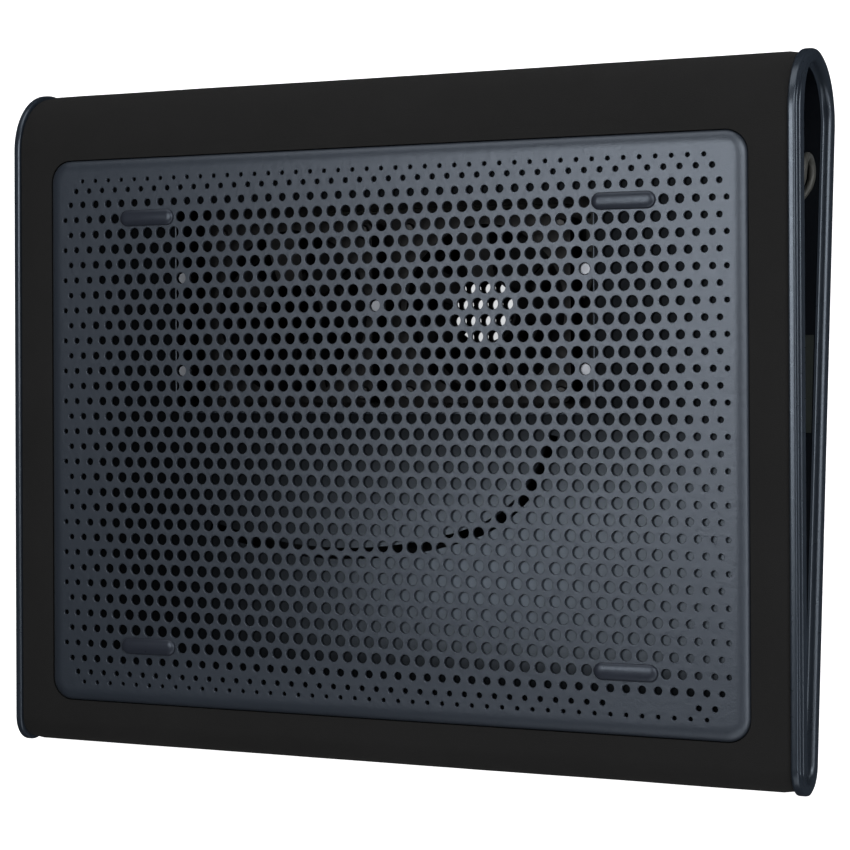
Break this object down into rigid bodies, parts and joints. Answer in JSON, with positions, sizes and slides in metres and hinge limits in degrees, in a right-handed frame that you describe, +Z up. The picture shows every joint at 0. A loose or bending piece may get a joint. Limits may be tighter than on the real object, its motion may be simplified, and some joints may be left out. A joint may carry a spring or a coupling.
{
  "type": "laptop cooling pad",
  "caption": "Wedge-shaped laptop cooling pad: open-ended sleeve with a raised perforated tray, rubber stop bars, hidden fans in a tub and a stowed USB lead.",
  "frame": {"origin": "centre of the footprint on the ground", "axes": "+X to the user's right, +Y towards the thick rear edge, +Z up"},
  "size_m": [0.38, 0.3056, 0.0564],
  "materials": {
    "neoprene": "soft black knit-faced neoprene",
    "shell_plastic": "fine texture",
    "trim_gloss": "gloss blue-grey",
    "tray_face": "satin blue-grey",
    "stop_rubber": "smooth",
    "fan_plastic": "moulded",
    "copper_winding": "enamelled copper wire",
    "screw_steel": "zinc plated",
    "screw_black": "black oxide steel",
    "hub_foil": "mirror foil",
    "board_green": "solder mask",
    "wire_pvc": "smooth",
    "lead_pvc": "smooth",
    "plug_steel": "nickel plated",
    "tie_nylon": "hook tape",
    "label_film": "matt film"
  },
  "bodies": {
    "casing": {"neoprene_skin": "neoprene", "top_shell": "shell_plastic", "bottom_shell": "shell_plastic", "side_trim_left": "trim_gloss", "side_trim_right": "trim_gloss", "perforated_plate": "tray_face", "stop_bar_rear_left": "stop_rubber", "stop_bar_rear_right": "stop_rubber", "stop_bar_front_left": "stop_rubber", "stop_bar_front_right": "stop_rubber", "fan_tub": "fan_plastic", "intake_floor": "fan_plastic", "tub_screw_1": "screw_steel", "tub_screw_2": "screw_steel", "tub_screw_3": "screw_steel", "tub_screw_4": "screw_steel", "tub_screw_5": "screw_steel", "fan_frame_left": "fan_plastic", "fan_stator_left": "copper_winding", "fan_screw_left_1": "screw_black", "fan_screw_left_2": "screw_black", "fan_screw_left_3": "screw_black", "fan_screw_left_4": "screw_black", "fan_frame_right": "fan_plastic", "fan_stator_right": "copper_winding", "fan_screw_right_1": "screw_black", "fan_screw_right_2": "screw_black", "fan_screw_right_3": "screw_black", "fan_screw_right_4": "screw_black", "terminal_board": "board_green", "fan_wire_left": "wire_pvc", "fan_wire_right": "wire_pvc", "strain_relief": "lead_pvc", "usb_lead_coil": "lead_pvc", "usb_lead_inner": "lead_pvc", "usb_lead_tail": "lead_pvc", "usb_plug_grip": "lead_pvc", "usb_plug_shell": "plug_steel", "cable_tie": "tie_nylon", "rating_label": "label_film"},
    "left_rotor": {"fan_rotor_left": "fan_plastic", "hub_label_left": "hub_foil", "fan_shaft_left": "screw_steel"},
    "right_rotor": {"fan_rotor_right": "fan_plastic", "hub_label_right": "hub_foil", "fan_shaft_right": "screw_steel"}
  },
  "joints": [
    {"name": "left_fan_spin", "type": "hinge", "parent": "casing", "child": "left_rotor", "pos_m": [-0.047, 0.04596, 0.02743], "axis": [0, -0.1216, 0.9926], "continuous": true},
    {"name": "right_fan_spin", "type": "hinge", "parent": "casing", "child": "right_rotor", "pos_m": [0.047, 0.04596, 0.02743], "axis": [0, -0.1216, 0.9926], "continuous": true}
  ]
}
